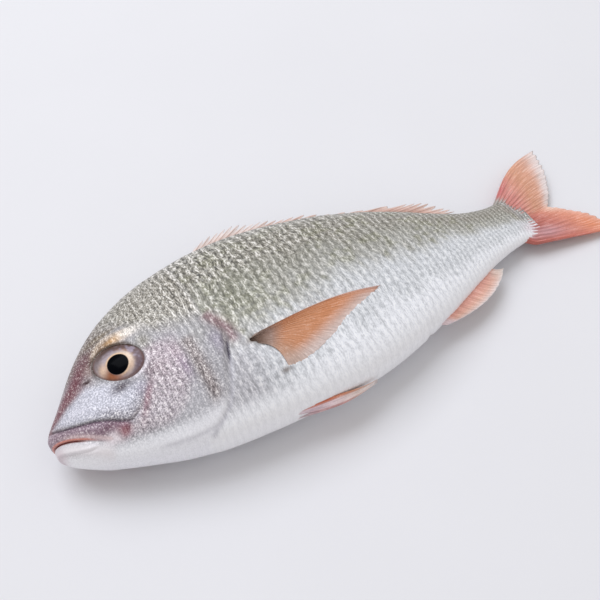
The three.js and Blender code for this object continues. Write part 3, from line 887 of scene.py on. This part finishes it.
# Back fin: where a ray leaves the back, where its tip lies, and how far the tip stands up
BACK_RAYS = [
    (88, 100, 4.5), (93, 108, 7.0), (98, 116, 8.4), (103, 123, 8.4), (109, 129, 7.2),
    (115, 135, 6.0), (121, 142, 5.4), (128, 149, 4.8), (137, 159, 4.6), (148, 170, 3.4),
    (162, 184, 3.2), (184, 208, 9.3), (190, 214.8, 10), (196, 220.2, 9.6), (202, 225, 5.8),
    (208, 228, 2.6),
]


def back_fin_place(i, v):
    foot, tip, height = spread(BACK_RAYS, i)
    x = mix(foot, tip, v)
    u = loft_at(x)
    y = back_at(u) - 2 + (height + 2) * np.maximum(v, 0) ** 1.3
    return np.stack([x, y, middle_at(u) + 0.5 * np.sin(40 * i) * v], -1)


def back_fin_tint(i, v, ray):
    front = blend_tints(["#8f8078", "#c9a597", "#dfc6bc", "#ece2e0"], [0, 0.35, 0.6, 1], v)
    rear = blend_tints(["#85776e", "#a58a7e", "#cfa698", "#e6cfc6"], [0, 0.35, 0.65, 1], v)
    tint = mix(front, rear, ease((i - 0.3) / 0.15)[:, None])
    return mix(tint, linear("#8f6f66"), (0.75 * ray**6 * ease((1.05 - v) / 0.3))[:, None])


ANAL_TIPS = [
    (183, -36.6), (190, -36.9), (196, -36.6), (202, -35.8), (208, -34.3), (213.5, -32.4),
    (219, -29.5), (224, -26.2), (228.5, -21.8),
]


def anal_place(i, v):
    u = loft_at(mix(176, 219, i))
    tip_x, tip_y = spread(ANAL_TIPS, i)
    x = mix(along(u) * BODY_LENGTH, tip_x, v)
    y = mix(belly_at(u) + 2.5, tip_y, v) - 1.2 * np.sin(np.pi * v)
    return np.stack([x, y, middle_at(u) - 3.6 * v], -1)


def anal_tint(i, v, ray):
    codes = ["#e5a498", "#eaab9c", "#eebba9", "#f3d5cc", "#f2eaea"]
    tint = blend_tints(codes, [0, 0.3, 0.55, 0.8, 1], v)
    tint = mix(tint, linear("#e8dae2"), (0.8 * ease((0.16 - i) / 0.1))[:, None])
    tint = mix(tint, linear("#e6dcd4"), (0.7 * ease((i - 0.78) / 0.22) * ease(v / 0.5))[:, None])
    return tint * mix(1.03, 0.96, ray)[:, None]


BREAST_TIPS = [
    (156.8, -14.4), (151.5, -16.4), (144, -19), (135, -22.6), (125.5, -26.4), (116, -29.4),
    (107.8, -31.3), (99.8, -31.2),
]


def breast_from_root(i, v):
    """Millimetres from the root of the breast fin: its first ray is long and its last short."""
    return v * mix(68, 22, i**0.7)


def left_breast_place(i, v):
    """It lies along the flank: sunk in at its root, lifted a little, and down again at its tips."""
    x, y = spread(BREAST_TIPS, i)
    fold = 3 * np.sin(np.pi * v) * i
    lift = mix(-1.3, mix(0.75, 0.3, i), ease(breast_from_root(i, v) / 6))
    lift = lift + mix(1.3, 0.3, ease(i / 0.5)) * np.sin(np.pi * np.clip(v, 0, 1))
    lift = lift - mix(0.75, 0.45, i) * ease((v - 0.8) / 0.2) * ease((i + 0.02) / 0.08)
    arch = 1.5 * np.sin(np.pi * np.clip(v, 0, 1.2) ** 1.5) * (1 - i)
    across = mix(mix(-11.4, -14.0, i), y, v) + 0.5 * fold + arch
    return on_skin(mix(mix(90.0, 91.5, i), x, v) + fold, across, lift)


def right_breast_place(i, v):
    """It is pressed flat between the under flank and the table."""
    x, y = spread(BREAST_TIPS, i)
    z = mix(1.5, 0.8, v) + 0.12 * np.sin(9 * i) * v
    return np.stack([mix(mix(91, 94, i), x, v), mix(mix(-11, -16, i), y - 3 * i, v), z], -1)


def breast_tint(i, v, ray):
    """Brown root, orange web, and a pale fringe along its tips, with painted shade where the root
    sinks into the flank.
    """
    from_root = breast_from_root(i, v)
    codes = ["#67544a", "#9c8376", "#b3968a", "#c98b64", "#d58e64", "#d7a896"]
    tint = blend_tints(codes, [0, 3.5, 8.5, 15, 40, 66], from_root)
    first_ray = bump((i - 0.05) / 0.018) * ease((v - 0.08) / 0.15) * ease((0.95 - v) / 0.4)
    tint = lay_over(tint, [
        ("#d0926f", 0.5 * ease((i - 0.3) / 0.3) * ease((from_root - 8) / 8)),
        ("#dfcdc8", 0.95 * ease((v - mix(0.78, 0.62, i)) / 0.3) * ease((i - 0.03) / 0.15)),
        ("#c0a08e", 0.6 * ease((i - 0.72) / 0.22) * ease((v - 0.2) / 0.5)),
        ("#bb938a", 0.7 * bump(i / 0.028) * ease((v - 0.1) / 0.2)),
        ("#855f52", 0.6 * first_ray),
        # Painted shade where the root of the first rays sinks into the flank
        ("#40312a", 0.62 * ease((4 - from_root) / 3.5) * ease((0.4 - i) / 0.3)),
    ])
    return tint * mix(1.05, 0.93, ray)[:, None]


def belly_fin_place(side):
    """Folded back along the belly. The rays spread a little and close again to a point."""

    def place(i, v):
        x = mix(89, 93, i) + mix(46, 41.5, i) * v
        u = loft_at(x)
        spread_out = ease(np.maximum(v, 0) / 0.4)
        closing = ease((v - 0.5) / 0.5)
        off = mix(mix(2.8, 1.6, i), mix(3.3, 0.35, i), spread_out) * mix(1.0, 0.12, closing)
        out = mix(mix(0.8, 3.9, i**0.8), mix(1.2, 2.5, i), closing)
        stand = mix(-1.5, out, 1 - np.maximum(1 - v, 0) ** 2.2)
        y = belly_at(u) + 0.06 * off * off - stand
        return np.stack([x, y, middle_at(u) + side * off], -1)

    return place


def belly_fin_tint(i, v, ray):
    web_codes = ["#eee8ec", "#ead4de", "#efd8dc", "#eddad4", "#eee6e6"]
    edge_codes = ["#e6d2d2", "#d0867a", "#cd765a", "#cf987e", "#e4d0c6"]
    web = blend_tints(web_codes, [0, 0.25, 0.5, 0.75, 1], v)
    edge = blend_tints(edge_codes, [0, 0.15, 0.45, 0.75, 1], v)
    tint = mix(edge, web, ease((i - 0.12) / 0.25)[:, None])
    last_ray = 0.5 * bump((i - 1) / 0.12) * bump((v - 0.5) / 0.3)
    return mix(tint, linear("#d87f74"), last_ray[:, None]) * mix(1.03, 0.95, ray)[:, None]


# Eyes
def eye_tint(a, b):
    """Colour of the iris at a mm behind and b mm above the pupil's middle."""
    radius = np.hypot(a, b)

    def towards(degrees, width):
        gap = np.angle(np.exp(1j * (np.arctan2(b, a) - math.radians(degrees))))
        return bump(np.degrees(gap) / width)

    r = orbit_radius(a + PUPIL[0], b + PUPIL[1])
    mottle = steady_noise(a / 1.3, b / 1.3, 61)
    silver = ease(mottle * 2) * 0.7
    brown = ease(-mottle * 2) * 0.5
    copper = towards(-150, 42) * ease((radius - 4.5) / 0.4)
    return lay_over(np.broadcast_to(linear("#a79ba0"), (len(a), 3)), [
        ("#b3aab2", towards(140, 55) * ease((radius - 4.6) / 1.6)),
        ("#85747a", towards(55, 60) * ease((radius - 6.0) / 1.5)),
        ("#7a6a74", towards(-30, 45) * ease((radius - 6.4) / 1.4)),
        ("#ecc9a4", bump((radius - 5.05) / 0.5) * (1 - towards(-145, 50))),
        ("#fde9d6", towards(3, 50) * bump((radius - 5.9) / 1.2)),
        ("#c79a7c", 0.4 * towards(38, 34) * bump((radius - 7.2) / 0.7)),
        ("#d7b296", 0.6 * towards(-35, 30) * bump((radius - 6.1) / 0.9)),
        ("#8c5840", copper * ease((9.2 - radius) / 2)),
        ("#ab6d4e", 0.7 * towards(-134, 36) * bump((radius - 5.8) / 1.1)),
        ("#f3d3ba", 0.95 * towards(168, 22) * bump((radius - 7.0) / 2.0)),
        ("#bdb3c6", silver * towards(35, 60) * ease((radius - 6.4) / 1)),
        ("#7d6258", brown * towards(60, 70) * ease((radius - 6.2) / 1)),
        # Painted shadow of the lid over the top of the eyeball
        ("#4a3424", 0.9 * ease((r - 0.52) / 0.36) * towards(100, 62)),
        ("#6d5048", 0.6 * ease((r - 0.93) / 0.07)),
    ])


def round_the_ball(place):
    """A number for each place on a ball, ring by ring and then round the ring."""
    return round(place.z, 5) * 1000 + math.atan2(place.y, place.x)


def eye_piece(name, side):
    """The eyeball of the solids, with the clear skin over the pupil standing a little prouder."""
    bm = bmesh.new()
    bmesh.ops.create_uvsphere(bm, u_segments=128, v_segments=96, radius=1.0)
    # The operator's own order isn't the same on each run
    bm.verts.sort(key=lambda vert: round_the_ball(vert.co))
    bm.faces.sort(key=lambda face: round_the_ball(face.calc_center_median()))
    mesh = new_mesh(name, bm)
    ball = places_of(mesh) * [EYE["long"], EYE["short"], EYE["deep"]]
    c, s = math.cos(EYE["turn"] * side), math.sin(EYE["turn"] * side)
    ball[:, :2] = np.stack([ball[:, 0] * c - ball[:, 1] * s, ball[:, 0] * s + ball[:, 1] * c], -1)
    from_pupil = ball[:, :2] - [PUPIL[0] - EYE["x"], (PUPIL[1] - EYE["y"]) * side]
    from_pupil[:, 1] *= side
    radius = np.linalg.norm(from_pupil, axis=1)
    proud = 0.3 * np.clip(1 - (radius / 5.6) ** 2, 0, 1) ** 2
    ball[:, 2] += np.where(ball[:, 2] > 0, proud, 0)

    u = np.array([loft_at(EYE["x"])])
    turn = turn_at(np.array([EYE["x"]]), np.array([EYE["y"]])) * side
    normal = skin_normal(u, turn)[0]
    lengthwise = unit(np.array([1.0, 0, 0]) - normal * normal[0])
    upward = np.cross(normal, lengthwise)
    middle = plain_skin(u, turn)[0] - normal * (EYE["sunk"] if side > 0 else EYE["under_sunk"])
    points = middle + ball @ np.array([lengthwise, upward, normal])
    keep(mesh, "eye_place", "FLOAT_VECTOR", np.column_stack([from_pupil, np.zeros(len(ball))]))
    put_in_place(mesh, points, eye_tint(from_pupil[:, 0], from_pupil[:, 1]))
    return add_object(name, mesh)


# Materials
def new_material(name):
    material = bpy.data.materials.new(name)
    material.use_nodes = True
    material.node_tree.nodes.clear()
    return material, material.node_tree


def node(tree, kind, settings=None, **links):
    """Adds a shader node. A link is a socket to join or a value to set. It goes by the name of its
    input, with _ for a space, or by i and a number where inputs share a name."""
    made = tree.nodes.new("ShaderNode" + kind)
    for key, value in (settings or {}).items():
        setattr(made, key, value)
    for key, value in links.items():
        numbered = key[1:].isdigit()
        socket = made.inputs[int(key[1:]) if numbered else key.replace("_", " ")]
        if isinstance(value, bpy.types.NodeSocket):
            tree.links.new(value, socket)
        else:
            socket.default_value = value
    return made


def colour(code):
    return (*linear(code).tolist(), 1.0)


def grained(tree, tint, along, across, banding, contrast, strength):
    """The tint broken up into bright and dark streaks and specks, partly mottle of the skin and partly
    painted glitter, with their level for the bump.

    A streak is about along by across millimetres. banding is how much the painted light and shade in
    rows across the scales shows, contrast how much the level darkens and lightens, and strength how
    bright its peaks, which are painted glints, are."""
    carried = node(tree, "Attribute", {"attribute_name": "grain"})
    grain = node(tree, "SeparateXYZ", Vector=carried.outputs["Vector"])
    streaky = node(tree, "Attribute", {"attribute_name": "streaky"}).outputs["Fac"]
    place = node(tree, "TexCoord").outputs["Object"]

    narrow = node(tree, "Math", {"operation": "DIVIDE"}, i0=grain.outputs["X"], i1=along)
    long = node(tree, "Math", {"operation": "DIVIDE"}, i0=grain.outputs["Y"], i1=across)
    streak_place = node(tree, "CombineXYZ", X=narrow.outputs[0], Y=long.outputs[0])
    streaks = node(
        tree, "TexNoise", Vector=streak_place.outputs[0], Scale=1.0, Detail=2.0, Roughness=0.6)
    specks = node(
        tree, "TexNoise", Vector=place, Scale=1000.0 / SPECK_SIZE, Detail=2.0, Roughness=0.6)
    speck_share = node(tree, "MapRange", Value=streaky, To_Min=0.85, To_Max=0.3)
    woven = node(
        tree, "Mix", {"data_type": "FLOAT"}, Factor=speck_share.outputs[0],
        A=streaks.outputs["Fac"], B=specks.outputs["Fac"])

    # Painted light and shade: a light and a dark band across each row of scales
    wander = node(tree, "TexNoise", Vector=place, Scale=WANDER_SCALE, Detail=1.0)
    sway = node(tree, "Math", {"operation": "MULTIPLY"}, i0=wander.outputs["Fac"], i1=5.0)
    phase = node(
        tree, "Math", {"operation": "MULTIPLY_ADD"}, i0=grain.outputs["X"],
        i1=2 * math.pi / SCALE_LONG, i2=sway.outputs[0])
    wave = node(tree, "Math", {"operation": "SINE"}, i0=phase.outputs[0])
    bands = node(tree, "Math", {"operation": "MULTIPLY"}, i0=wave.outputs[0], i1=streaky)
    level = node(
        tree, "Math", {"operation": "MULTIPLY_ADD"}, i0=bands.outputs[0], i1=banding,
        i2=woven.outputs[0])

    signed = node(
        tree, "MapRange", Value=level.outputs[0], From_Min=0.36, From_Max=0.64, To_Min=-1.0,
        To_Max=1.0)
    amount = node(tree, "Math", {"operation": "MULTIPLY"}, i0=grain.outputs["Z"], i1=contrast)
    shade = node(
        tree, "Math", {"operation": "MULTIPLY_ADD"}, i0=signed.outputs[0], i1=amount.outputs[0],
        i2=1.0)
    shaded = node(tree, "VectorMath", {"operation": "SCALE"}, i0=tint, Scale=shade.outputs[0])
    # Painted highlights: where the level peaks, the colour is mixed towards near white
    peak = node(
        tree, "MapRange", Value=level.outputs[0], From_Min=0.53, From_Max=0.66, To_Max=strength)
    shining = node(
        tree, "Math", {"operation": "MULTIPLY"}, i0=peak.outputs[0], i1=grain.outputs["Z"])
    lit = node(
        tree, "Mix", {"data_type": "RGBA"}, Factor=shining.outputs[0], A=shaded.outputs[0],
        B=colour("#fbf8f4"))
    return lit.outputs["Result"], level.outputs[0]


def wet_scaled_skin():
    """Fish skin: silvery platelets in the scales under a wet film. Their glints, short streaks across
    the body where the scales' margins catch the light, are painted highlights in the colour, with
    painted light and shade in rows across the scales."""
    material, tree = new_material("wet scaled skin")
    tint = node(tree, "Attribute", {"attribute_name": "tint"}).outputs["Color"]
    # The base colour carries painted glints and painted light and shade in rows across the scales
    lit, level = grained(
        tree, tint, along=0.8, across=2.5, banding=0.06, contrast=0.74, strength=0.85)
    shine = node(
        tree, "MapRange", Value=level, From_Min=0.3, From_Max=0.7, To_Min=0.48, To_Max=0.3)
    bumped = node(tree, "Bump", Strength=0.3, Distance=0.0002, Height=level)
    surface = node(
        tree, "BsdfPrincipled", Base_Color=lit, Roughness=shine.outputs[0],
        Normal=bumped.outputs[0], Metallic=0.08, IOR=1.4, Coat_Weight=0.12, Coat_Roughness=0.2)
    node(tree, "OutputMaterial", Surface=surface.outputs[0])
    return material


def fin_rays_and_web():
    """Fin: horny rays in a thin moist membrane, finely streaked along the rays."""
    material, tree = new_material("fin rays and membrane")
    tint = node(tree, "Attribute", {"attribute_name": "tint"}).outputs["Color"]
    # Weak painted glints at the peaks of the streaks, no painted bands
    lit, level = grained(
        tree, tint, along=0.8, across=9.0, banding=0.0, contrast=0.16, strength=0.25)
    bumped = node(tree, "Bump", Strength=0.25, Distance=0.0002, Height=level)
    surface = node(
        tree, "BsdfPrincipled", Base_Color=lit, Roughness=0.45, Normal=bumped.outputs[0],
        IOR=1.38, Coat_Weight=0.06, Coat_Roughness=0.25)
    node(tree, "OutputMaterial", Surface=surface.outputs[0])
    return material


def moist_eye():
    """Eye of a fresh fish: a black pupil in a golden iris and mottled silver, all wet."""
    material, tree = new_material("moist eye")
    tint = node(tree, "Attribute", {"attribute_name": "tint"}).outputs["Color"]
    place = node(tree, "Attribute", {"attribute_name": "eye_place"}).outputs["Vector"]
    radius = node(tree, "VectorMath", {"operation": "LENGTH"}, i0=place).outputs["Value"]
    fibres = node(tree, "TexNoise", Vector=place, Scale=1.1, Detail=4.0, Roughness=0.65)
    level = node(
        tree, "MapRange", Value=fibres.outputs["Fac"], From_Min=0.3, From_Max=0.7, To_Min=0.84,
        To_Max=1.14)
    tinted = node(tree, "VectorMath", {"operation": "SCALE"}, i0=tint, Scale=level.outputs[0])
    in_pupil = node(
        tree, "MapRange", Value=radius, From_Min=4.55, From_Max=4.85, To_Min=1.0, To_Max=0.0)
    painted = node(
        tree, "Mix", {"data_type": "RGBA"}, Factor=in_pupil.outputs[0], A=tinted.outputs[0],
        B=colour("#040509"))
    surface = node(
        tree, "BsdfPrincipled", Base_Color=painted.outputs["Result"], Roughness=0.18, IOR=1.34,
        Specular_IOR_Level=0.05)
    node(tree, "OutputMaterial", Surface=surface.outputs[0])
    return material


def pale_table():
    """Table: matt white laminate, very faintly clouded over about 110 mm."""
    material, tree = new_material("pale matt laminate")
    place = node(tree, "TexCoord").outputs["Object"]
    cloud = node(tree, "TexNoise", Vector=place, Scale=9.0, Detail=6.0)
    level = node(
        tree, "Mix", {"data_type": "RGBA"}, Factor=cloud.outputs["Fac"], A=colour("#e6e6ea"),
        B=colour("#ebebef"))
    surface = node(tree, "BsdfPrincipled", Base_Color=level.outputs["Result"], Roughness=0.75)
    node(tree, "OutputMaterial", Surface=surface.outputs[0])
    return material


# The camera stands where the photo's did, worked out from the fish's outline in it
CAMERA_AZIMUTH = -30.838
CAMERA_ELEVATION = 54.16
CAMERA_DISTANCE = 0.38866
CAMERA_TARGET = (0.02193, 0.00595, 0.020)
FIELD_OF_VIEW = 39.6
SENSOR_WIDTH = 36.0


def set_camera():
    azimuth, elevation = math.radians(CAMERA_AZIMUTH), math.radians(CAMERA_ELEVATION)
    level = math.cos(elevation)
    backwards = Vector((math.sin(azimuth) * level, -math.cos(azimuth) * level, math.sin(elevation)))
    rightwards = Vector((math.cos(azimuth), math.sin(azimuth), 0.0))
    upwards = backwards.cross(rightwards)
    data = bpy.data.cameras.new("camera")
    data.sensor_width = SENSOR_WIDTH
    data.sensor_fit = "HORIZONTAL"
    data.lens = SENSOR_WIDTH / 2 / math.tan(math.radians(FIELD_OF_VIEW) / 2)
    data.clip_start = 0.01
    camera = add_object("camera", data)
    turned = Matrix((rightwards, upwards, backwards)).transposed().to_4x4()
    place = Vector(CAMERA_TARGET) + backwards * CAMERA_DISTANCE
    camera.matrix_world = Matrix.Translation(place) @ turned
    bpy.context.scene.camera = camera


def set_softbox(place, size, power, code):
    """One large square light, aimed at the fish."""
    data = bpy.data.lights.new("softbox", "AREA")
    data.size = size
    data.energy = power
    data.color = colour(code)[:3]
    light = add_object("softbox", data)
    light.location = place
    light.rotation_euler = (-Vector(place)).to_track_quat("-Z", "Y").to_euler()


def set_room():
    """A pale table, plain daylight all round and one softbox up behind the fish's back."""
    bm = bmesh.new()
    bmesh.ops.create_grid(bm, x_segments=1, y_segments=1, size=14.0)
    table_top = add_object("table_top", new_mesh("table_top", bm))
    table_top.location = (0, 0, -0.0002)
    table_top.data.materials.append(pale_table())

    world = bpy.data.worlds.new("studio")
    world.use_nodes = True
    background = world.node_tree.nodes["Background"].inputs
    background["Color"].default_value = colour("#f6f3f0")
    background["Strength"].default_value = 0.63
    bpy.context.scene.world = world
    set_softbox(place=(-0.3, 1.3, 2.3), size=1.9, power=43.5, code="#f3f7ff")
    bpy.context.scene.view_settings.view_transform = "Standard"


# The pieces
def dress(piece, material, replaced):
    piece.data.materials.append(material)
    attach(piece, "root")
    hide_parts(replaced)


set_camera()
set_room()

skin_material = wet_scaled_skin()
fin_material = fin_rays_and_web()
eye_material = moist_eye()

ring_station = float(loft_at(HEAD_END))
dress(body_piece("head_skin", HEAD_ROWS, 0.0, ring_station), skin_material, "fish")
dress(body_piece("trunk_skin", TRUNK_ROWS, ring_station, 1.0), skin_material, "fish")

# Name, middle sheet, colour, rays, rows of faces, thickness at the root and tips, notch
FINS = [
    ("tail_fin", tail_place, tail_tint, 21, 70, 4.4, 0.6, 0.02),
    ("back_fin", back_fin_place, back_fin_tint, 28, 40, 1.6, 0.35, 0.22),
    ("anal_fin", anal_place, anal_tint, 13, 40, 2.4, 0.6, 0.03),
    ("left_breast_fin", left_breast_place, breast_tint, 19, 80, 1.9, 0.3, 0.01),
    ("right_breast_fin", right_breast_place, breast_tint, 15, 40, 1.4, 0.6, 0.01),
    ("left_belly_fin", belly_fin_place(1), belly_fin_tint, 6, 40, 2.0, 0.6, 0.03),
    ("right_belly_fin", belly_fin_place(-1), belly_fin_tint, 6, 40, 2.0, 0.6, 0.03),
]
for fin in FINS:
    dress(fin_piece(*fin), fin_material, "fish")

dress(eye_piece("left_eyeball", 1), eye_material, "left_eye")
dress(eye_piece("right_eyeball", -1), eye_material, "right_eye")
